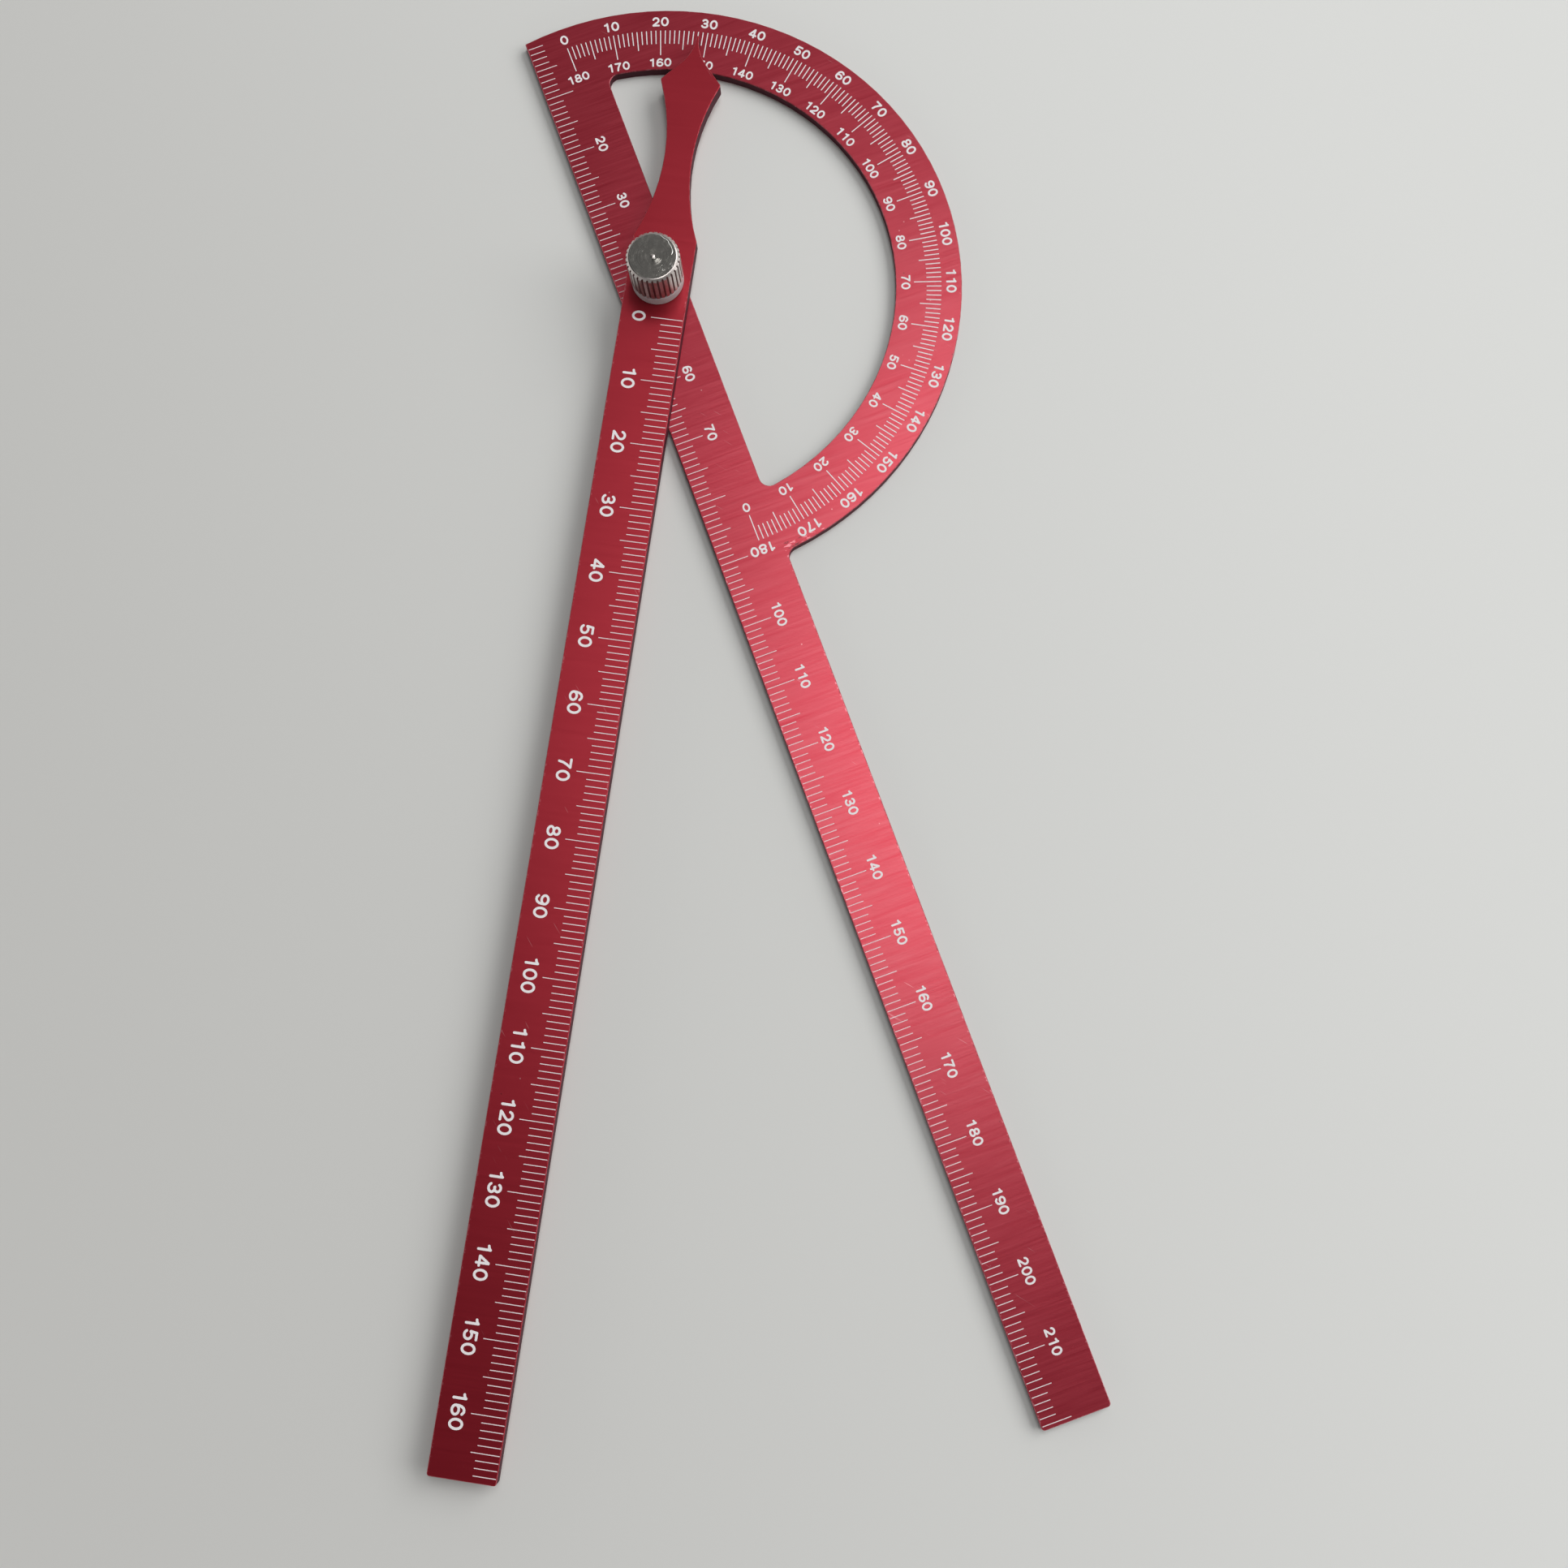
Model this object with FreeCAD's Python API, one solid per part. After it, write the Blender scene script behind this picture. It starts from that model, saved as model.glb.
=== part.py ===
import FreeCAD, Part
import math
import os

# An angle finder: a protractor whose straight leg is a ruler, and a pointer arm that turns on it.
# The origin lies on the pivot axis, in the underside of the protractor. +X runs along the ruler
# to its long end, +Y points to the protractor's ring and +Z points up. Millimetres and degrees.

# Protractor plate
base_thickness = 1.6
ruler_reach = 175.2            # pivot axis to the long end of the ruler
ruler_width = 10.1
pivot_inset = 6.25             # pivot axis to the ruler's straight edge
rim_radius = 46.0              # outer edge of the ring
ring_width = 10.0
window_corner_radius = 1.6     # inner corners of the window
root_radius = 1.6              # where the rim runs into the ruler
ruler_corner_radius = 0.5      # long end of the ruler

# Pointer arm
arm_thickness = 2.4
arm_reach = 174.9              # pivot axis to the square end
arm_width = 9.7
arm_corner_radius = 0.4
arm_angle = 28.3               # the arm at rest, turned clockwise from the ruler
blade_reach = 6.9              # pivot axis to where the waist begins
shoulder_reach = 32.7          # pivot axis to the shoulders of the pointer
pointer_reach = 40.5           # pivot axis to the tip
waist_width = 4.3
shoulder_width = 9.4
shoulder_radius = 0.5
tip_width = 0.3
waist_share = 0.5              # place of the narrowest point between blade and shoulders
flank_shares = (0.32, 0.526)   # of the nose's length and of the shoulder's half width
cheek_shares = (0.55, 0.227)   # the hollow between flank and tip, in the same shares

# Both plates
edge_break = 0.1
print_gap = 0.03               # the printed marks keep the plates this far apart

# Stud, pressed into the protractor from below
stud_diameter = 3.0
stud_head_diameter = 5.6
head_depth_share = 0.8         # depth of the sunk head in the plate
stud_end_chamfer = 0.3
press_clearance = 0.02

# Washer and knurled nut on the stud
running_clearance = 0.05
washer_diameter = 7.9
washer_thickness = 2.0
washer_edge = 0.2
knob_diameter = 8.0
knob_height = 6.1
knob_rim_chamfer = 0.42
rim_facet_width = 0.14         # shallow facet between the nut's face and its chamfer
rim_facet_share = 0.3          # its fall as a share of its width
knob_foot_chamfer = 0.2
thread_engagement = 4.4        # stud inside the nut
thread_end_gap = 0.4
flute_count = 32
flute_depth = 0.22
flute_share = 0.38             # width of a flute in its pitch
pip_diameter = 0.7             # turning mark in the middle of the nut's face
pip_height = 0.12

# Worked out from the sizes above
window_radius = rim_radius - ring_width
ruler_inner = ruler_width - pivot_inset
stud_radius = stud_diameter / 2
running_radius = stud_radius + running_clearance
arm_floor = base_thickness + print_gap
washer_floor = arm_floor + arm_thickness
knob_floor = washer_floor + washer_thickness
knob_top = knob_floor + knob_height
stud_top = knob_floor + thread_engagement
tolerance = 1e-6


def point(x, y, z=0):
    return FreeCAD.Vector(x, y, z)


def on_circle(radius, angle):
    return point(radius * math.cos(angle), radius * math.sin(angle))


def line(start, end):
    return Part.makeLine(start, end)


def arc(start, middle, end):
    return Part.Arc(start, middle, end).toShape()


def plate(edges, thickness):
    return Part.Face(Part.Wire(edges)).extrude(point(0, 0, thickness))


def turned(corners):
    """A solid turned about Z from a list of (radius, height) corners."""
    places = [point(radius, 0, height) for radius, height in corners]
    outline = Part.makePolygon(places + places[:1])
    return Part.Face(outline).revolve(point(0, 0), point(0, 0, 1), 360)


def hole(radius, floor, top):
    return Part.makeCylinder(radius, top - floor, point(0, 0, floor))


def round_corners(solid, corners, radius):
    """Round the upright edges of a plate that stand at the given corners."""
    edges = [min(solid.Edges, key=lambda edge: distance_from(edge, corner)) for corner in corners]
    return solid.makeFillet(radius, edges)


def distance_from(edge, corner):
    ends = [vertex.Point for vertex in edge.Vertexes]
    return sum(math.hypot(end.x - corner.x, end.y - corner.y) for end in ends) / len(ends)


def break_edges(solid):
    """A small bevel round the outlines of a plate's two faces."""
    level = [edge for edge in solid.Edges if edge.BoundBox.ZLength < tolerance]
    return solid.makeChamfer(edge_break, level)


def window():
    """The opening between the ring and the ruler, as a solid to cut away."""
    corner_angle = math.asin(ruler_inner / window_radius)
    right = on_circle(window_radius, corner_angle)
    left = on_circle(window_radius, math.pi - corner_angle)
    outline = [line(left, right), arc(right, point(0, window_radius), left)]
    return round_corners(plate(outline, base_thickness), [left, right], window_corner_radius)


def protractor_base():
    """The ring and its straight ruler leg are one plate."""
    corner_angle = math.asin(pivot_inset / rim_radius)
    root_angle = math.asin(ruler_inner / rim_radius)
    zero_corner = on_circle(rim_radius, math.pi + corner_angle)
    root = on_circle(rim_radius, root_angle)
    end_low = point(ruler_reach, -pivot_inset)
    end_high = point(ruler_reach, ruler_inner)
    outline = [
        line(zero_corner, end_low),
        line(end_low, end_high),
        line(end_high, root),
        arc(root, point(0, rim_radius), zero_corner),
    ]
    solid = plate(outline, base_thickness)
    solid = round_corners(solid, [root], root_radius)
    solid = round_corners(solid, [end_low, end_high], ruler_corner_radius)
    solid = break_edges(solid.cut(window()))
    return solid.cut(stud_blank(press_clearance, base_thickness))


def nose_point(shares, side):
    """A point of the pointer's nose, given in shares of its length and of its half width."""
    length_share, width_share = shares
    reach = shoulder_reach + (pointer_reach - shoulder_reach) * length_share
    return point(-reach, side * shoulder_width / 2 * width_share)


def pointer_side(side):
    """One side of the arm from its square end to the tip: blade, waist, shoulder and nose."""
    waist_reach = blade_reach + (shoulder_reach - blade_reach) * waist_share
    end = point(arm_reach, side * arm_width / 2)
    blade = point(-blade_reach, side * arm_width / 2)
    waist = point(-waist_reach, side * waist_width / 2)
    shoulder = point(-shoulder_reach, side * shoulder_width / 2)
    flank = nose_point(flank_shares, side)
    cheek = nose_point(cheek_shares, side)
    tip = point(-pointer_reach, side * tip_width / 2)
    edges = [line(end, blade), arc(blade, waist, shoulder), line(shoulder, flank), arc(flank, cheek, tip)]
    return edges, end, shoulder, tip


def pointer_arm():
    """The arm carries its own scale; its pointer end reads the ring."""
    upper, upper_end, upper_shoulder, upper_tip = pointer_side(1)
    lower, lower_end, lower_shoulder, lower_tip = pointer_side(-1)
    outline = upper + [line(upper_tip, lower_tip)] + lower[::-1] + [line(lower_end, upper_end)]
    solid = plate(outline, arm_thickness)
    solid = round_corners(solid, [upper_shoulder, lower_shoulder], shoulder_radius)
    solid = round_corners(solid, [upper_end, lower_end], arm_corner_radius)
    solid = break_edges(solid).cut(hole(running_radius, 0, arm_thickness))
    solid.rotate(point(0, 0), point(0, 0, 1), -arm_angle)
    solid.translate(point(0, 0, arm_floor))
    return solid


def stud_blank(clearance, top):
    """The stud's sunk head and shank up to a height, larger all round by a clearance."""
    radius = stud_radius + clearance
    head_radius = stud_head_diameter / 2 + clearance
    head_depth = base_thickness * head_depth_share
    return turned([(0, 0), (head_radius, 0), (radius, head_depth), (radius, top), (0, top)])


def pivot_stud():
    """A countersunk stud; its plain head lies flush with the underside."""
    end_radius = stud_radius - stud_end_chamfer
    chamfer_floor = stud_top - stud_end_chamfer
    shank = stud_blank(0, chamfer_floor)
    end = Part.makeCone(stud_radius, end_radius, stud_end_chamfer, point(0, 0, chamfer_floor))
    return shank.fuse(end).removeSplitter()


def knob_washer():
    radius = washer_diameter / 2
    inner = radius - washer_edge
    top = knob_floor
    low_edge = washer_floor + washer_edge
    high_edge = top - washer_edge
    blank = turned([
        (running_radius, washer_floor), (inner, washer_floor), (radius, low_edge),
        (radius, high_edge), (inner, top), (running_radius, top),
    ])
    return blank


def fluted_bar():
    """A bar with straight flutes all round, as tall as the knurled nut."""
    radius = knob_diameter / 2
    pitch = 2 * math.pi / flute_count
    flute = pitch * flute_share
    edges = []
    for step in range(flute_count):
        start = step * pitch
        flute_end = start + flute
        land_end = start + pitch
        flute_middle = on_circle(radius - flute_depth, (start + flute_end) / 2)
        land_middle = on_circle(radius, (flute_end + land_end) / 2)
        edges.append(arc(on_circle(radius, start), flute_middle, on_circle(radius, flute_end)))
        edges.append(arc(on_circle(radius, flute_end), land_middle, on_circle(radius, land_end)))
    bar = plate(edges, knob_height)
    bar.translate(point(0, 0, knob_floor))
    return bar


def clamp_knob():
    """The knurled nut: fluted sides, a bevelled rim, a closed face and a blind thread bore."""
    radius = knob_diameter / 2
    facet_fall = rim_facet_width * rim_facet_share
    facet_radius = radius - knob_rim_chamfer + facet_fall
    blank = turned([
        (0, knob_floor), (radius - knob_foot_chamfer, knob_floor), (radius, knob_floor + knob_foot_chamfer),
        (radius, knob_top - knob_rim_chamfer), (facet_radius, knob_top - facet_fall),
        (facet_radius - rim_facet_width, knob_top), (0, knob_top),
    ])
    knob = fluted_bar().common(blank)
    knob = knob.cut(hole(running_radius, knob_floor, stud_top + thread_end_gap))
    pip = Part.makeCone(pip_diameter / 2, 0, pip_height, point(0, 0, knob_top))
    return knob.fuse(pip)


def main():
    pieces = {
        "protractor_base": protractor_base(),
        "pointer_arm": pointer_arm(),
        "pivot_stud": pivot_stud(),
        "knob_washer": knob_washer(),
        "clamp_knob": clamp_knob(),
    }
    os.makedirs("parts", exist_ok=True)
    for name, shape in pieces.items():
        shape.exportStep(f"parts/{name}.step")
        box = shape.BoundBox
        print(name, "volume", round(shape.Volume, 2), "box", box, "solids", len(shape.Solids), shape.isValid())


main()
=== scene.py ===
import math
import bpy
from mathutils import Matrix, Vector


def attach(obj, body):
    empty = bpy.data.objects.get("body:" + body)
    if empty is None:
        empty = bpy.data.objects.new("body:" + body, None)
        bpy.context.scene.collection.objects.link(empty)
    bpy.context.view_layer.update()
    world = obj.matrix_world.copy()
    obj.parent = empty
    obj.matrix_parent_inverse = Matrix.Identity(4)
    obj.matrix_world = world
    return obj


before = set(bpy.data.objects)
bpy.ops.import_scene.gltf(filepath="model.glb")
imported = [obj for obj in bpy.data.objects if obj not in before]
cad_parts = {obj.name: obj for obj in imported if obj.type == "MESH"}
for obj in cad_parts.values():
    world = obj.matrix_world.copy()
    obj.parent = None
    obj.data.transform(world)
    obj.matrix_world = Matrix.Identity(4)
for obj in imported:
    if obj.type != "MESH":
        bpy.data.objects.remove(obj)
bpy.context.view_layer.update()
mm = 0.001

# Where the scales lie on the two plates, in metres and degrees from the pivot
plates = {
    "baseTop": 1.6 * mm,
    "armTop": 4.03 * mm,
    "rulerEdge": -6.25 * mm,
    "rulerZero": -45.4 * mm,
    "armEdge": 4.85 * mm,
    "armZero": 5.95 * mm,
    "armTurn": -28.3,
}

# The white print stands a hair above the plates and starts a little below their faces
ink = {
    "thick": 0.02 * mm,
    "sunk": 0.004 * mm,
    "corner": 0.03 * mm,
}


# a socket of a material's nodes, so that shader maths reads as plain sums
class Wire:
    def __init__(self, tree, socket=None):
        self.tree = tree
        self.socket = socket

    def node(self, kind, settings=None, values=None, output=0):
        made = self.tree.nodes.new(kind)
        for name, value in (settings or {}).items():
            setattr(made, name, value)
        for name, value in (values or {}).items():
            if isinstance(value, Wire):
                self.tree.links.new(value.socket, made.inputs[name])
            else:
                made.inputs[name].default_value = value
        return Wire(self.tree, made.outputs[output])

    def math(self, operation, *values):
        return self.node("ShaderNodeMath", {"operation": operation}, dict(enumerate(values)))

    def __add__(self, other):
        return self.math("ADD", self, other)

    def __radd__(self, other):
        return self.math("ADD", other, self)

    def __sub__(self, other):
        return self.math("SUBTRACT", self, other)

    def __rsub__(self, other):
        return self.math("SUBTRACT", other, self)

    def __mul__(self, other):
        return self.math("MULTIPLY", self, other)

    def __rmul__(self, other):
        return self.math("MULTIPLY", other, self)

    def __gt__(self, other):
        return self.math("GREATER_THAN", self, other)

    def __abs__(self):
        return self.math("ABSOLUTE", self)


def larger(first, second):
    return first.math("MAXIMUM", first, second)


def smaller(first, second):
    return first.math("MINIMUM", first, second)


def smooth(value, low, high):
    return value.node("ShaderNodeMapRange", {"interpolation_type": "SMOOTHSTEP", "clamp": True},
                      {"Value": value, "From Min": low, "From Max": high})


def mixColour(share, first, second):
    return share.node("ShaderNodeMix", {"data_type": "RGBA"}, {0: share, 6: first, 7: second}, 2)


def noise(place, scale, detail, rough):
    values = {"Vector": place, "Scale": scale, "Detail": detail, "Roughness": rough}
    return place.node("ShaderNodeTexNoise", None, values)


# a noise swings about a half, and this about nothing
def centred(value):
    return value - 0.5


def turnBy(place, angle):
    return place.node("ShaderNodeMapping", None, {"Vector": place, "Rotation": (0, 0, math.radians(angle))})


# noise drawn out along the axes, such as brushing
def stretchedNoise(place, angle, scales, detail, rough):
    stretched = place.node("ShaderNodeMapping", None, {"Vector": turnBy(place, angle), "Scale": scales})
    return noise(stretched, 1.0, detail, rough)


def coordinate(vector, axis):
    return vector.node("ShaderNodeSeparateXYZ", None, {0: vector}, "xyz".index(axis))


def vectorLength(vector):
    return vector.node("ShaderNodeVectorMath", {"operation": "LENGTH"}, {0: vector}, 1)


def reachFromAxis(place):
    flat = place.node("ShaderNodeVectorMath", {"operation": "MULTIPLY"}, {0: place, 1: (1, 1, 0)})
    return vectorLength(flat)


def turnedRings(reach, scale, detail):
    values = {"W": reach, "Scale": scale, "Detail": detail}
    return reach.node("ShaderNodeTexNoise", {"noise_dimensions": "1D"}, values)


def bumpOf(height, strength, distance):
    return height.node("ShaderNodeBump", None, {"Strength": strength, "Distance": distance, "Height": height})


# 1 where a surface looks up, 0 on upright walls and -1 where it looks down
def upwardness(place):
    normal = place.node("ShaderNodeNewGeometry", None, None, 1)
    return coordinate(normal, "z")


def newMaterial(name):
    material = bpy.data.materials.new(name)
    material.use_nodes = True
    tree = material.node_tree
    shader = tree.nodes["Principled BSDF"]
    place = Wire(tree).node("ShaderNodeTexCoord", None, None, 3)
    return material, shader, place


def plug(shader, values):
    for name, value in values.items():
        if isinstance(value, Wire):
            value.tree.links.new(value.socket, shader.inputs[name])
        else:
            shader.inputs[name].default_value = value


# A noise is given by its scale in counts a metre, its detail and its roughness. It has a scale for each
# axis where it is stretched. A pair of numbers is the two ends of a soft edge. The blade is the straight
# leg with its two cut edges, placed from the pivot.
baseLook = {
    "turn": 0.0,
    "bladeMiddle": -1.2 * mm,
    "bladeHalf": 5.05 * mm,
    "bladeStart": 44.5 * mm,
    "deep": (0.31, 0.011, 0.025, 1),
    "bright": (0.48, 0.023, 0.048, 1),
    "speck": (0.70, 0.40, 0.42, 1),
    "nick": (0.02, 0.002, 0.003, 1),
    # pale metal in the chips, also a painted highlight on the bevels
    "wearAndEdgeSheen": (0.72, 0.26, 0.30, 1),
    # painted shade: the dark colours of the side walls
    "sideShadeDark": (0.035, 0.005, 0.010, 1),
    "sideShadeLight": (0.10, 0.018, 0.030, 1),
    "faceLevel": (0.85, 0.97),
    "bevelLevel": (0.3, 0.6),
    "wallLevel": (0.1, 0.35),
    "fineBrush": ((7000, 130, 130), 3.0, 0.6),
    "fineShare": 0.4,
    "fineGrain": 0.6,
    "middleBrush": ((3200, 110, 110), 2.0, 0.6),
    "middleShare": 0.5,
    "broadBrush": ((1300, 45, 45), 2.0, 0.5),
    "broadShare": 0.4,
    "broadGrain": 0.4,
    "sideBrush": ((300, 300, 9000), 2.0, 0.6),
    "lineTone": 1.1,
    "coatLines": 1.8,
    "cloud": (55.0, 3.0, 0.6),
    "cloudTone": 0.4,
    "speckGrid": 900.0,
    "speckSize": (0.04, 0.13),
    "speckRarity": 0.985,
    "speckShare": 0.55,
    "nickShare": 0.8,
    "scratchBrush": ((5200, 210, 210), 1.0, 0.4),
    "scratchTurn": 52,
    "scratchRarity": (0.77, 0.82),
    "scratches": 0.3,
    "chipBrush": ((1700, 600, 600), 3.0, 0.7),
    "chipReach": 0.1 * mm,
    "chipFade": 0.16 * mm,
    "chipWander": 0.3 * mm,
    "paleChips": (0.56, 0.60),
    "darkChips": (0.38, 0.42),
    "chips": 0.7,
    "wearAndSheenCloud": (1500.0, 2.0, 0.6),
    "wearAndSheenPatches": (0.42, 0.62),
    "wearAndSheenLeast": 0.15,
    "wearAndSheenMost": 0.45,
    "metal": 0.75,
    "rough": 0.32,
    "lineRough": 0.12,
    "edgeRough": 0.06,
    "coat": 0.6,
    "coatRough": 0.26,
    "bump": 0.42,
    "bumpDepth": 0.02 * mm,
    "sideRough": 0.5,
    "sideLineRough": 0.2,
    "sideShine": 0.15,
}
armLook = dict(
    baseLook,
    turn=28.3,
    bladeMiddle=0.0,
    bladeHalf=4.85 * mm,
    bladeStart=0.0,
    deep=(0.33, 0.012, 0.023, 1),
    bright=(0.46, 0.019, 0.037, 1),
    lineTone=0.25,
    coatLines=0.3,
    chips=0.4,
    wearAndSheenLeast=0.0,
    wearAndSheenMost=0.2,
    coat=0.25,
    bump=0.25,
)


# red dye over brushed aluminium; the cut side walls are duller than the faces, and their dark colour is
# painted shade
def redAnodising(name, look):
    material, shader, place = newMaterial(name)
    turn = look["turn"]
    level = abs(upwardness(place))
    face = smooth(level, *look["faceLevel"])
    bevel = smooth(level, *look["bevelLevel"]) * (1 - face)

    # brushing and cloudy dye
    fineLines = stretchedNoise(place, turn, *look["fineBrush"])
    broadLines = stretchedNoise(place, turn, *look["broadBrush"])
    middleLines = stretchedNoise(place, turn, *look["middleBrush"])
    cloud = noise(place, *look["cloud"])
    lines = centred(fineLines) * look["fineShare"] + centred(middleLines) * look["middleShare"]
    lines = lines + centred(broadLines) * look["broadShare"]
    tone = lines * look["lineTone"] + centred(cloud) * look["cloudTone"] + 0.5
    dye = mixColour(smaller(larger(tone, 0), 1), look["deep"], look["bright"])

    # a few cells of a fine grid hold a pale or a dark speck
    grid = {"Vector": place, "Scale": look["speckGrid"]}
    speckReach = place.node("ShaderNodeTexVoronoi", None, grid)
    speckDraw = place.node("ShaderNodeTexVoronoi", None, grid, 1)
    paleDraw = speckDraw.node("ShaderNodeSeparateColor", None, {0: speckDraw}, 0)
    darkDraw = speckDraw.node("ShaderNodeSeparateColor", None, {0: speckDraw}, 1)
    speck = 1 - smooth(speckReach, *look["speckSize"])
    scratchLines = stretchedNoise(place, turn + look["scratchTurn"], *look["scratchBrush"])
    scratches = smooth(scratchLines, *look["scratchRarity"])
    dye = mixColour(speck * (paleDraw > look["speckRarity"]) * face * look["speckShare"], dye, look["speck"])
    dye = mixColour(speck * (darkDraw > look["speckRarity"]) * face * look["nickShare"], dye, look["nick"])
    dye = mixColour(scratches * face * look["scratches"], dye, look["speck"])

    # chips along the blade's two edges, and bevels painted lighter: partly wear down to the metal, partly a
    # painted highlight
    blade = turnBy(place, turn)
    along = coordinate(blade, "x")
    across = coordinate(blade, "y")
    edge = look["bladeHalf"] - abs(across - look["bladeMiddle"])
    chips = stretchedNoise(place, turn, *look["chipBrush"])
    chipZone = 1 - smooth(edge, look["chipReach"], look["chipFade"] + chips * look["chipWander"])
    chipped = chipZone * (along > look["bladeStart"]) * face
    dye = mixColour(smooth(chips, *look["paleChips"]) * chipped * look["chips"], dye, look["wearAndEdgeSheen"])
    dye = mixColour((1 - smooth(chips, *look["darkChips"])) * chipped * look["chips"], dye, look["nick"])
    # the bevels are painted lighter, partly for wear and partly as a painted highlight along the edges
    wearAndEdgeSheen = smooth(noise(place, *look["wearAndSheenCloud"]), *look["wearAndSheenPatches"])
    dye = mixColour(bevel * (look["wearAndSheenLeast"] + wearAndEdgeSheen * look["wearAndSheenMost"]), dye, look["wearAndEdgeSheen"])

    grain = fineLines * look["fineGrain"] + broadLines * look["broadGrain"]
    plug(shader, {
        "Normal": bumpOf(grain, look["bump"], look["bumpDepth"]),
        "Base Color": dye,
        "Metallic": look["metal"],
        "Roughness": look["rough"] + lines * look["lineRough"] + (1 - face) * look["edgeRough"],
        "Coat Weight": larger(look["coat"] + lines * look["coatLines"], 0),
        "Coat Roughness": look["coatRough"],
    })
    # the side walls' dark colour is painted shade
    sideLines = stretchedNoise(place, 0.0, *look["sideBrush"])
    wall = place.node("ShaderNodeBsdfPrincipled", None, {
        "Base Color": mixColour(sideLines, look["sideShadeDark"], look["sideShadeLight"]),
        "Roughness": sideLines * look["sideLineRough"] + look["sideRough"],
        "Specular IOR Level": look["sideShine"],
    })
    plate = Wire(place.tree, shader.outputs[0])
    both = wall.node("ShaderNodeMixShader", None, {0: smooth(level, *look["wallLevel"]), 1: wall, 2: plate})
    place.tree.links.new(both.socket, place.tree.nodes["Material Output"].inputs["Surface"])
    return material


# Starts and ends are headings round the nut's face in radians, each a soft edge
nickelLook = {
    "bright": (0.68, 0.62, 0.59, 1),
    "dull": (0.46, 0.42, 0.39, 1),
    "stain": (900.0, 4.0, 0.7),
    "stainPatches": (0.4, 0.75),
    "stainShare": 0.6,
    "face": (0.26, 0.253, 0.226, 1),
    "faceLevel": (0.97, 0.99),
    "faceShare": 0.8,
    # painted shade at the bottoms of the flutes
    "grooveShade": (0.10, 0.08, 0.078, 1),
    "grooveLevel": (0.2, 0.5),
    "grooveFade": 0.13 * mm,
    "grooveShare": 0.85,
    "landReach": 3.97 * mm,
    "wave": (420.0, 3.0, 0.6),
    "waveRelief": 1.4,
    "wobble": (620.0, 1.0, 0.4),
    "dents": (1500.0, 4.0, 0.65),
    "dentRelief": 0.3,
    "sideDentRelief": 0.06,
    "rings": (3200.0, 2.0),
    "ringRelief": 0.5,
    "ringWander": 0.35 * mm,
    "ringGlint": 4.0,
    "glintReach": (0.5 * mm, 1.8 * mm),
    "glintStart": (-0.6, 0.1),
    "glintEnd": (0.6, 1.3),
    # painted highlights: a bright wavy line on the face and bright spots near its rim, both also raised a
    # little in the bump
    "highlightLine": (0.75, 0.74, 0.70, 1),
    "highlightLineRelief": 0.9,
    "highlightLineReach": 2.35 * mm,
    "highlightLineWobble": 1.0 * mm,
    "highlightLineDrift": 0.35 * mm,
    "highlightLineFade": (0.03 * mm, 0.12 * mm),
    "highlightLineStart": (1.2, 1.5),
    "highlightLineEnd": (2.4, 2.9),
    "highlightSpotNoise": (2600.0, 2.0, 0.6),
    "highlightSpotLevels": (0.56, 0.7),
    "highlightSpotRelief": 0.7,
    "highlightSpotReach": (1.8 * mm, 2.4 * mm),
    "highlightSpotStart": (-0.5, 0.2),
    "highlightSpotEnd": (0.5, 1.1),
    "highlightSpotShare": 0.6,
    "rough": 0.13,
    "sideRough": 0.16,
    "stainRough": 0.1,
    "dentRough": 0.06,
    "highlightLineRough": 0.15,
    "bump": 0.3,
    "bumpDepth": 0.06 * mm,
}


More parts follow.
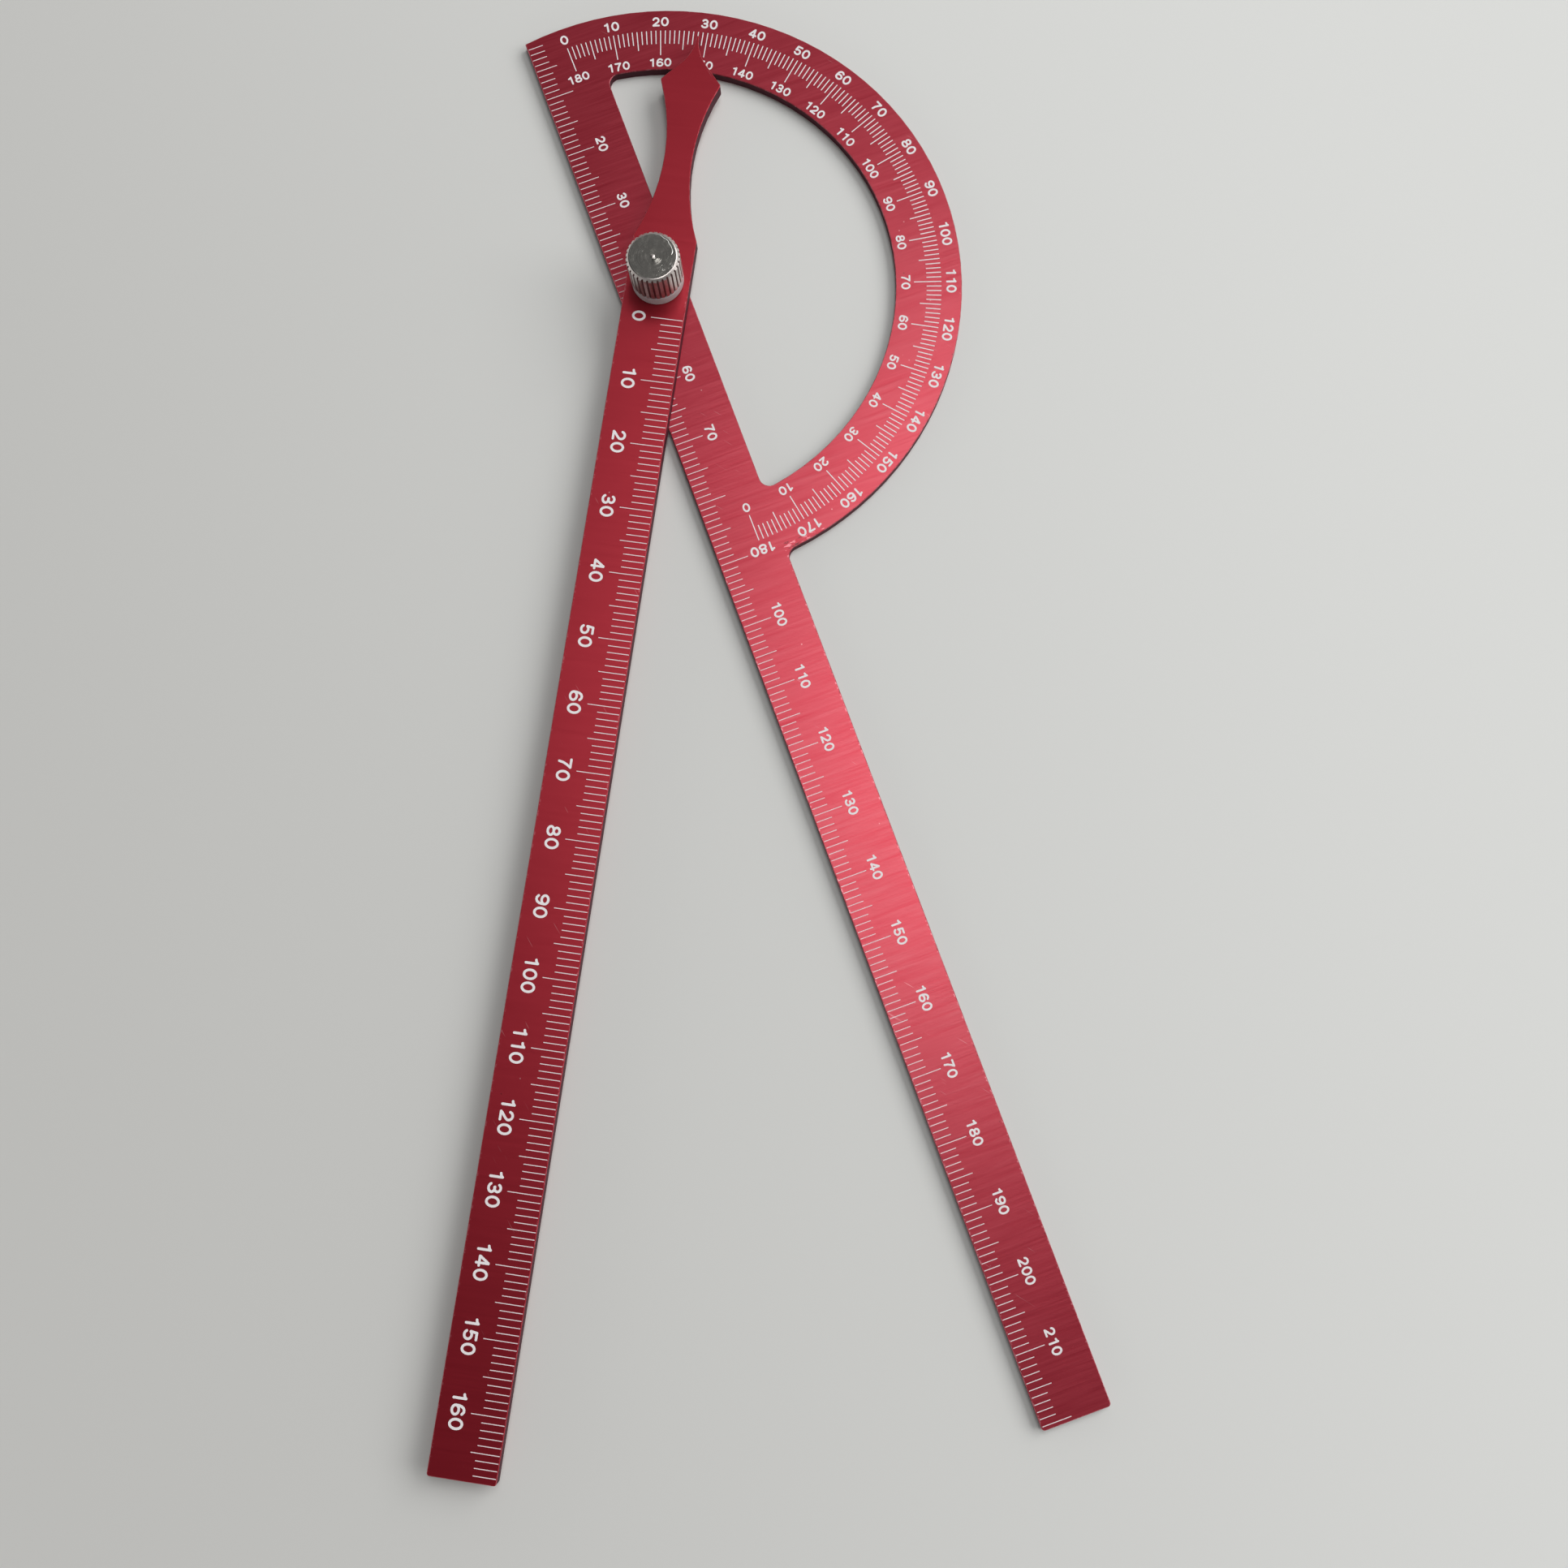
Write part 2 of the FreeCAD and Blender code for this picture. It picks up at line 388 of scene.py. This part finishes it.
# turned face with rings, a painted highlight line and painted highlight spots near its rim, plain plating
# round the sides
def nickelPlate(look):
    material, shader, place = newMaterial("nickelPlate")
    upward = upwardness(place)
    face = smooth(upward, *look["faceLevel"])
    reach = reachFromAxis(place)
    forward = coordinate(place, "x")
    across = coordinate(place, "y")
    heading = across.math("ARCTAN2", across, forward)
    wave = noise(place, *look["wave"])
    wobble = centred(noise(place, *look["wobble"]))
    turned = turnedRings(reach + wave * look["ringWander"], *look["rings"])
    dents = noise(place, *look["dents"])
    glint = (1 - smooth(reach, *look["glintReach"])) * smooth(heading, *look["glintStart"])
    glint = glint * (1 - smooth(heading, *look["glintEnd"]))
    highlightLinePath = reach + wobble * look["highlightLineWobble"] - heading * look["highlightLineDrift"]
    highlightLineGap = abs(highlightLinePath - look["highlightLineReach"])
    highlightLine = (1 - smooth(highlightLineGap, *look["highlightLineFade"])) * smooth(heading, *look["highlightLineStart"])
    highlightLine = highlightLine * (1 - smooth(heading, *look["highlightLineEnd"])) * face
    highlightSpots = smooth(noise(place, *look["highlightSpotNoise"]), *look["highlightSpotLevels"])
    highlightSpots = highlightSpots * smooth(reach, *look["highlightSpotReach"]) * smooth(heading, *look["highlightSpotStart"])
    highlightSpots = highlightSpots * (1 - smooth(heading, *look["highlightSpotEnd"])) * face
    relief = turned * face * (glint * look["ringGlint"] + look["ringRelief"])
    relief = relief + dents * (face * look["dentRelief"] + look["sideDentRelief"])
    relief = relief + wave * face * look["waveRelief"]
    relief = relief + highlightLine * look["highlightLineRelief"] + highlightSpots * look["highlightSpotRelief"]
    bump = bumpOf(relief, look["bump"], look["bumpDepth"])

    stain = smooth(noise(place, *look["stain"]), *look["stainPatches"])
    colour = mixColour(stain * look["stainShare"], look["bright"], look["dull"])
    colour = mixColour(face * look["faceShare"], colour, look["face"])
    # painted highlights on the face: the wavy line and the spots near the rim
    colour = mixColour(larger(highlightLine, highlightSpots * look["highlightSpotShare"]), colour, look["highlightLine"])
    # painted shade at the bottoms of the flutes, on the sides only
    grooveShade = 1 - smooth(reach, look["landReach"] - look["grooveFade"], look["landReach"])
    grooveShade = grooveShade * (1 - smooth(upward, *look["grooveLevel"]))
    colour = mixColour(grooveShade * look["grooveShare"], colour, look["grooveShade"])
    rough = look["rough"] + (1 - face) * look["sideRough"] + stain * look["stainRough"]
    rough = rough + centred(dents) * look["dentRough"] + highlightLine * look["highlightLineRough"]
    plug(shader, {"Base Color": colour, "Metallic": 1.0, "Roughness": rough, "Normal": bump})
    return material


nylonLook = {
    "bright": (0.52, 0.47, 0.47, 1),
    "deep": (0.42, 0.36, 0.37, 1),
    "cloud": (500.0, 3.0, 0.6),
    "grain": (5200.0, 2.0, 0.6),
    "rough": 0.38,
    "cloudRough": 0.15,
    "bump": 0.25,
    "bumpDepth": 0.03 * mm,
    "subsurface": 0.25,
    "glowReach": (1.2 * mm, 1.0 * mm, 0.9 * mm),  # of red, green and blue light in the nylon
}


def whiteNylon(look):
    material, shader, place = newMaterial("whiteNylon")
    cloud = noise(place, *look["cloud"])
    grain = noise(place, *look["grain"])
    colour = mixColour(cloud, look["deep"], look["bright"])
    plug(shader, {
        "Normal": bumpOf(grain, look["bump"], look["bumpDepth"]),
        "Base Color": colour,
        "Roughness": look["rough"] + cloud * look["cloudRough"],
        "Subsurface Weight": look["subsurface"],
        "Subsurface Radius": look["glowReach"],
        "Subsurface Scale": 1.0,
    })
    return material


steelLook = {
    "bright": (0.60, 0.59, 0.56, 1),
    "dull": (0.42, 0.41, 0.38, 1),
    "stain": (1100.0, 4.0, 0.6),
    "stainPatches": (0.4, 0.7),
    "rings": (9000.0, 3.0),
    "rough": 0.28,
    "ringRough": 0.12,
    "bump": 0.3,
    "bumpDepth": 0.02 * mm,
}


def studSteel(look):
    material, shader, place = newMaterial("studSteel")
    turned = turnedRings(reachFromAxis(place), *look["rings"])
    stain = noise(place, *look["stain"])
    plug(shader, {
        "Normal": bumpOf(turned, look["bump"], look["bumpDepth"]),
        "Base Color": mixColour(smooth(stain, *look["stainPatches"]), look["bright"], look["dull"]),
        "Metallic": 1.0,
        "Roughness": look["rough"] + turned * look["ringRough"],
    })
    return material


numeralLook = {
    "full": (0.94, 0.90, 0.91, 1),
    "thin": (0.75, 0.55, 0.58, 1),
    "thinCloud": (700.0, 4.0, 0.65),
    "thinPatches": (0.5, 0.8),
    "thinShare": 0.45,
    "grain": (9000.0, 2.0, 0.6),
    "rough": 0.5,
    "grainRough": 0.1,
    "bump": 0.2,
    "bumpDepth": 0.01 * mm,
}
markLook = dict(numeralLook, full=(0.90, 0.78, 0.80, 1), thin=(0.70, 0.44, 0.48, 1), thinShare=0.55)


# white print that lets the red through where it is thin
def whiteInk(name, look):
    material, shader, place = newMaterial(name)
    thin = smooth(noise(place, *look["thinCloud"]), *look["thinPatches"])
    grain = noise(place, *look["grain"])
    plug(shader, {
        "Normal": bumpOf(grain, look["bump"], look["bumpDepth"]),
        "Base Color": mixColour(thin * look["thinShare"], look["full"], look["thin"]),
        "Roughness": look["rough"] + grain * look["grainRough"],
    })
    return material


print("mixing the finishes")
finishes = {
    "protractor_base": redAnodising("redPlate", baseLook),
    "pointer_arm": redAnodising("redArm", armLook),
    "clamp_knob": nickelPlate(nickelLook),
    "knob_washer": whiteNylon(nylonLook),
    "pivot_stud": studSteel(steelLook),
}
for name, finish in finishes.items():
    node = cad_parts[name]
    node.data.materials.clear()
    node.data.materials.append(finish)
numeralInk = whiteInk("numeralInk", numeralLook)
markInk = whiteInk("markInk", markLook)


def deselect():
    if bpy.context.object and bpy.context.object.mode != "OBJECT":
        bpy.ops.object.mode_set(mode="OBJECT")
    bpy.ops.object.select_all(action="DESELECT")


def pickOnly(*pieces):
    deselect()
    for piece in pieces:
        piece.select_set(True)
    bpy.context.view_layer.objects.active = pieces[0]


# the place of a finished piece goes into its mesh
def settle(piece):
    pickOnly(piece)
    bpy.ops.object.transform_apply(location=True, rotation=True, scale=True)


# corners that meet become one, and the faces point outwards
def closeUp(piece, near):
    pickOnly(piece)
    bpy.ops.object.mode_set(mode="EDIT")
    bpy.ops.mesh.select_all(action="SELECT")
    bpy.ops.mesh.remove_doubles(threshold=near)
    bpy.ops.mesh.normals_make_consistent(inside=False)
    bpy.ops.object.mode_set(mode="OBJECT")


def copyTo(piece, place):
    twin = piece.copy()
    twin.data = piece.data.copy()
    twin.data.transform(place)
    bpy.context.scene.collection.objects.link(twin)
    return twin


def joinAs(name, copies, body, finish):
    pickOnly(*copies)
    bpy.ops.object.join()
    piece = bpy.context.object
    piece.name = name
    piece.data.name = name
    piece.data.materials.clear()
    piece.data.materials.append(finish)
    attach(piece, body)
    print(name, len(copies), "copies", len(piece.data.polygons), "faces")


def drop(pieces):
    for piece in pieces:
        bpy.data.objects.remove(piece)


# one mark, its outer end at the origin and running along +Y
def makeMark(length, width):
    deselect()
    bpy.ops.mesh.primitive_plane_add(size=1, location=(0, length / 2, -ink["sunk"]))
    mark = bpy.context.object
    mark.scale = (width, length, 1)
    settle(mark)
    bpy.ops.object.mode_set(mode="EDIT")
    bpy.ops.mesh.select_all(action="SELECT")
    bpy.ops.mesh.bevel(offset=ink["corner"], segments=2, affect="VERTICES")
    bpy.ops.mesh.extrude_region_move(TRANSFORM_OT_translate={"value": (0, 0, ink["thick"] + ink["sunk"])})
    bpy.ops.mesh.select_all(action="SELECT")
    bpy.ops.mesh.normals_make_consistent(inside=False)
    bpy.ops.object.mode_set(mode="OBJECT")
    return mark


def markKind(number):
    if number % 10 == 0:
        return "ten"
    return "five" if number % 5 == 0 else "one"


# The numerals are drawn with a round pen, in heights of one numeral and in degrees
pen = {
    "plateWidth": 0.19,
    "armWidth": 0.17,
    "bendStep": 18,
    "sharpest": 0.7,  # keeps the pen's side from running out in a tight corner
    "cell": 0.885,
    "nineAcross": 0.77,
    "thick": 0.05,
    "weld": 0.0005,
}
foot = 0.088  # the pen's path at the foot of a numeral, or at its left side
crown = 0.912


def bend(cx, cy, rx, ry, start, end):
    steps = max(2, round(abs(end - start) / pen["bendStep"]))
    angles = [math.radians(start + (end - start) * step / steps) for step in range(steps + 1)]
    return [(cx + rx * math.cos(angle), cy + ry * math.sin(angle)) for angle in angles]


def oval(cx, cy, rx, ry):
    return bend(cx, cy, rx, ry, 0, 360)[:-1]


oneFlag = [(foot, 0.775), (0.22, 0.805), (0.345, 0.905)]
twoTail = [(0.52, 0.44), (0.33, 0.29), (0.17, 0.16), (0.11, 0.09)]
sixBack = [
    (0.09, 0.33), (0.098, 0.52), (0.14, 0.70), (0.23, 0.84), (0.36, 0.905), (0.50, 0.895), (0.63, 0.79),
]
digitStrokes = {
    "0": [("round", oval(0.39, 0.5, 0.302, 0.412))],
    "1": [("open", oneFlag), ("open", [(0.345, crown), (0.345, foot)])],
    "2": [
        ("open", bend(0.37, 0.650, 0.268, 0.262, 165, -22) + twoTail),
        ("open", [(0.11, foot), (0.66, foot)]),
    ],
    "3": [
        ("open", bend(0.36, 0.70, 0.235, 0.212, 155, -90) + [(0.30, 0.488)]),
        ("open", [(0.30, 0.512)] + bend(0.36, 0.30, 0.275, 0.212, 90, -158)),
    ],
    "4": [
        ("open", [(0.50, crown), (foot, 0.31)]),
        ("open", [(foot, 0.29), (0.70, 0.29)]),
        ("open", [(0.52, crown), (0.52, foot)]),
    ],
    "5": [
        ("open", [(0.20, crown), (0.63, crown)]),
        ("open", [(0.20, crown), (0.135, 0.50)]),
        ("open", bend(0.36, 0.338, 0.275, 0.25, 140, -152)),
    ],
    "6": [("round", oval(0.385, 0.318, 0.295, 0.23)), ("open", sixBack)],
    "7": [
        ("open", [(foot, crown), (0.64, crown)]),
        ("open", [(0.64, crown), (0.46, 0.65), (0.33, 0.38), (0.27, foot)]),
    ],
    "8": [("round", oval(0.38, 0.705, 0.232, 0.207)), ("round", oval(0.38, 0.298, 0.292, 0.21))],
}


def direction(first, second):
    return (Vector(second) - Vector(first)).normalized()


# half a circle round the end of the pen's path
def penEnd(point, way, half):
    heading = math.degrees(math.atan2(way.y, way.x))
    return [Vector(spot) for spot in bend(point[0], point[1], half, half, heading + 90, heading - 90)[1:-1]]


# both sides of the pen's path, with half circles at the ends of an open one
def penLoops(form, path, width):
    half = width / 2
    count = len(path)
    left, right = [], []
    for step, point in enumerate(path):
        before = path[step - 1] if form == "round" or step else None
        after = path[(step + 1) % count] if form == "round" or step < count - 1 else None
        ahead = direction(point, after) if after else direction(before, point)
        behind = direction(before, point) if before else ahead
        middle = (ahead + behind).normalized()
        side = Vector((-middle.y, middle.x)) * half / max(pen["sharpest"], middle.dot(ahead))
        left.append(Vector(point) + side)
        right.append(Vector(point) - side)
    if form == "round":
        return [left, right]
    last = penEnd(path[-1], direction(path[-2], path[-1]), half)
    first = penEnd(path[0], direction(path[1], path[0]), half)
    return [left + last + right[::-1] + first]


def penStroke(form, path, width):
    curve = bpy.data.curves.new("stroke", "CURVE")
    curve.dimensions = "2D"
    curve.fill_mode = "BOTH"
    curve.extrude = pen["thick"] / 2
    for loop in penLoops(form, path, width):
        spline = curve.splines.new("POLY")
        spline.points.add(len(loop) - 1)
        for spot, corner in zip(spline.points, loop):
            spot.co = (corner.x, corner.y, 0, 1)
        spline.use_cyclic_u = True
    stroke = bpy.data.objects.new("stroke", curve)
    bpy.context.scene.collection.objects.link(stroke)
    pickOnly(stroke)
    bpy.ops.object.convert(target="MESH")
    stroke = bpy.context.object
    closeUp(stroke, pen["weld"])
    return stroke


def makeDigit(strokes, width):
    solids = [penStroke(form, path, width) for form, path in strokes]
    digit = solids[0]
    for extra in solids[1:]:
        weld = digit.modifiers.new("weld", "BOOLEAN")
        weld.operation = "UNION"
        weld.solver = "EXACT"
        weld.object = extra
        pickOnly(digit)
        bpy.ops.object.modifier_apply(modifier=weld.name)
        drop([extra])
    closeUp(digit, pen["weld"])
    return digit


def leftAndRight(digit):
    places = [vertex.co.x for vertex in digit.data.vertices]
    return min(places), max(places)


# one solid for each digit, centred on the origin; the nine is the six turned over
def cutDigits(width):
    cut = {name: makeDigit(strokes, width) for name, strokes in digitStrokes.items()}
    overturn = Matrix.Translation((pen["nineAcross"], 1, 0)) @ Matrix.Rotation(math.pi, 4, "Z")
    cut["9"] = copyTo(cut["6"], overturn)
    for digit in cut.values():
        left, right = leftAndRight(digit)
        digit.data.transform(Matrix.Translation((-(left + right) / 2, -0.5, 0)))
    faces = sum(len(digit.data.polygons) for digit in cut.values())
    print("numerals cut with a pen of", width, "of their height", faces, "faces")
    return cut


# copies of the digits of one number, centred on its own extent
def placeNumber(digits, number, height, place):
    text = str(number)
    halfWidths = [leftAndRight(digits[letter])[1] for letter in text]
    middle = ((len(text) - 1) * pen["cell"] + halfWidths[-1] - halfWidths[0]) / 2
    full = ink["thick"] + ink["sunk"]
    sink = Matrix.Translation((0, 0, -ink["sunk"]))
    size = Matrix.Diagonal((height, height, full / pen["thick"], 1))
    copies = []
    for step, letter in enumerate(text):
        shift = Matrix.Translation((step * pen["cell"] - middle, 0, pen["thick"] / 2))
        copies.append(copyTo(digits[letter], place @ sink @ size @ shift))
    return copies


# one mark for each number, at the place that a function gives for it
def printMarks(name, scale, numbers, placeOf, body, finish):
    marks = {kind: makeMark(length, scale["markWidth"]) for kind, length in scale["lengths"].items()}
    copies = [copyTo(marks[markKind(number)], placeOf(number)) for number in numbers]
    drop(marks.values())
    joinAs(name, copies, body, finish)


rulerScale = {
    "last": 220,
    "inset": 0.2 * mm,
    "markWidth": 0.115 * mm,
    "lengths": {"one": 2.33 * mm, "five": 3.29 * mm, "ten": 4.25 * mm},
    "numbers": [20, 30, 40, 50, 60, 70] + list(range(100, 211, 10)),
    "numberHeight": 1.5 * mm,
    "numberInset": 5.75 * mm,
}


def onRuler(number, inset):
    along = plates["rulerZero"] + number * mm
    return Matrix.Translation((along, plates["rulerEdge"] + inset, plates["baseTop"]))


def printRuler(scale, digits):
    print("printing the ruler's scale")
    printMarks("ruler_marks", scale, range(1, scale["last"] + 1),
               lambda number: onRuler(number, scale["inset"]), "protractor", markInk)
    copies = []
    for number in scale["numbers"]:
        copies += placeNumber(digits, number, scale["numberHeight"], onRuler(number, scale["numberInset"]))
    joinAs("ruler_numerals", copies, "protractor", numeralInk)


# The ring's print sits a little off the pivot and turned, as in the photo
ringScale = {
    "centre": (0.19 * mm, 0.13 * mm, 0),
    "turn": 0.57,
    "last": 180,
    "outer": 42.7 * mm,
    "markWidth": 0.145 * mm,
    "lengths": {"one": 2.25 * mm, "five": 3.2 * mm, "ten": 4.15 * mm},
    "outerNumbers": 44.2 * mm,
    "outerHeight": 1.55 * mm,
    "innerNumbers": 37.3 * mm,
    "innerHeight": 1.4 * mm,
}
flip = Matrix.Rotation(math.pi, 4, "Z")  # for marks that run inwards from the rim or from the arm's +Y edge


def onRing(scale, degree, reach):
    printPlace = Matrix.Translation(scale["centre"]) @ Matrix.Rotation(math.radians(scale["turn"]), 4, "Z")
    turned = printPlace @ Matrix.Rotation(math.radians(90 - degree), 4, "Z")
    return turned @ Matrix.Translation((0, reach, plates["baseTop"]))


def printRing(scale, digits):
    print("printing the ring's scale")
    printMarks("ring_marks", scale, range(0, scale["last"] + 1),
               lambda degree: onRing(scale, degree, scale["outer"]) @ flip, "protractor", numeralInk)
    copies = []
    for degree in range(0, scale["last"] + 1, 10):
        outer = onRing(scale, degree, scale["outerNumbers"])
        inner = onRing(scale, degree, scale["innerNumbers"])
        copies += placeNumber(digits, degree, scale["outerHeight"], outer)
        copies += placeNumber(digits, scale["last"] - degree, scale["innerHeight"], inner)
    joinAs("ring_numerals", copies, "protractor", numeralInk)


armScale = {
    "last": 168,
    "inset": 0.15 * mm,
    "markWidth": 0.115 * mm,
    "lengths": {"one": 3.25 * mm, "five": 4.05 * mm, "ten": 4.85 * mm},
    "lastNumber": 160,
    "numberHeight": 2.1 * mm,
    "numberAcross": -2.0 * mm,
}


def onArm(number, across):
    armTurn = Matrix.Rotation(math.radians(plates["armTurn"]), 4, "Z")
    alongArm = armTurn @ Matrix.Translation((0, 0, plates["armTop"]))
    return alongArm @ Matrix.Translation((plates["armZero"] + number * mm, across, 0))


def printArm(scale, digits):
    print("printing the arm's scale")
    edge = plates["armEdge"] - scale["inset"]
    printMarks("arm_marks", scale, range(0, scale["last"] + 1),
               lambda number: onArm(number, edge) @ flip, "arm", markInk)
    copies = []
    for number in range(0, scale["lastNumber"] + 1, 10):
        copies += placeNumber(digits, number, scale["numberHeight"], onArm(number, scale["numberAcross"]))
    joinAs("arm_numerals", copies, "arm", numeralInk)


plateDigits = cutDigits(pen["plateWidth"])
printRuler(rulerScale, plateDigits)
printRing(ringScale, plateDigits)
drop(plateDigits.values())
armDigits = cutDigits(pen["armWidth"])
printArm(armScale, armDigits)
drop(armDigits.values())

objectMiddle = (0.06, 0, 0)  # in metres; the floor lies round it and the lamps look at it
black = (0, 0, 0, 1)
floorLook = {
    "size": 12,
    # painted light and shade on the floor: dark towards -Y, light towards +Y
    "dark": (0.66, 0.655, 0.63, 1),
    "light": (0.85, 0.855, 0.83, 1),
    "paintedLightAcross": (-0.16, 0.12),
    "cloud": (3.0, 2.0, 0.5),
    "cloudReach": 0.03,
    "glow": (0.34, 0.34, 0.335, 1),  # keeps the far floor as pale as the near one
    "glowReach": (0.0, 1.2),
    "rough": 0.85,
}


def paleFloor(look):
    material, shader, place = newMaterial("paleFloor")
    across = coordinate(place, "y")
    cloud = centred(noise(place, *look["cloud"]))
    reach = vectorLength(place)
    # painted light and shade: the floor's colour goes from dark at -Y to light at +Y
    light = smooth(across + cloud * look["cloudReach"], *look["paintedLightAcross"])
    plug(shader, {
        "Base Color": mixColour(light, look["dark"], look["light"]),
        "Emission Color": mixColour(smooth(reach, *look["glowReach"]), black, look["glow"]),
        "Emission Strength": 1.0,
        "Roughness": look["rough"],
    })
    return material


def layFloor(look):
    deselect()
    bpy.ops.mesh.primitive_plane_add(size=look["size"], location=objectMiddle)
    floor = bpy.context.object
    floor.name = "floor"
    settle(floor)
    floor.data.materials.append(paleFloor(look))


# In metres, watts and degrees; the heading is that of a lamp's long side
lamps = {
    "softbox": {"place": (-0.106, 0.172, 1.0), "heading": -32, "size": (0.56, 0.26), "power": 2.22},
    "fillCard": {"place": (0.095, 2.10, 1.82), "heading": 0, "size": (3.1, 1.8), "power": 54.0},
}


def hangLamp(name, lamp):
    lampData = bpy.data.lights.new(name, "AREA")
    lampData.shape = "RECTANGLE"
    lampData.size, lampData.size_y = lamp["size"]
    lampData.energy = lamp["power"]
    light = bpy.data.objects.new(name, lampData)
    bpy.context.scene.collection.objects.link(light)
    back = (Vector(lamp["place"]) - Vector(objectMiddle)).normalized()
    heading = math.radians(lamp["heading"])
    side = Vector((math.cos(heading), math.sin(heading), 0))
    side = (side - back * side.dot(back)).normalized()
    facing = Matrix((side, back.cross(side), back)).transposed().to_4x4()
    light.matrix_world = Matrix.Translation(lamp["place"]) @ facing


# Pale near the horizon and grey overhead, where it is dark towards -Y and far along +X
skyLook = {
    "dark": (0.03, 0.03, 0.03, 1),
    "top": (0.33, 0.335, 0.34, 1),
    "low": (0.95, 0.95, 0.94, 1),
    "topAcross": (-0.37, 0.2),
    "darkForward": (0.45, 0.8),
    "topHeight": (0.18, 0.46),
    "strength": 0.8,
}


def paintSky(look):
    world = bpy.data.worlds.new("studio")
    bpy.context.scene.world = world
    world.use_nodes = True
    sky = Wire(world.node_tree)
    towards = sky.node("ShaderNodeTexCoord", None, None, 0)
    height = coordinate(towards, "z")
    forward = coordinate(towards, "x")
    across = coordinate(towards, "y")
    overhead = mixColour(smooth(across, *look["topAcross"]), look["dark"], look["top"])
    overhead = mixColour(smooth(forward, *look["darkForward"]), overhead, look["dark"])
    shade = mixColour(smooth(height, *look["topHeight"]), look["low"], overhead)
    background = world.node_tree.nodes["Background"]
    world.node_tree.links.new(shade.socket, background.inputs["Color"])
    background.inputs["Strength"].default_value = look["strength"]


# The camera stands where the photo was taken, found from the printed scales, in metres and degrees
photoView = {
    "place": (0.119787, -0.015398, 0.256251),
    "turn": (9.1374, 1.7401, 69.8962),
    "lens": 40.7704,
    "sensor": 36,
    "nearest": 0.005,
}


def placeCamera(view):
    cameraData = bpy.data.cameras.new("photoCamera")
    cameraData.sensor_width = view["sensor"]
    cameraData.lens = view["lens"]
    cameraData.clip_start = view["nearest"]
    camera = bpy.data.objects.new("photoCamera", cameraData)
    bpy.context.scene.collection.objects.link(camera)
    camera.location = view["place"]
    camera.rotation_euler = [math.radians(angle) for angle in view["turn"]]
    bpy.context.scene.camera = camera


print("setting the studio")
layFloor(floorLook)
for name, lamp in lamps.items():
    hangLamp(name, lamp)
paintSky(skyLook)
placeCamera(photoView)
bpy.context.scene.view_settings.view_transform = "Standard"
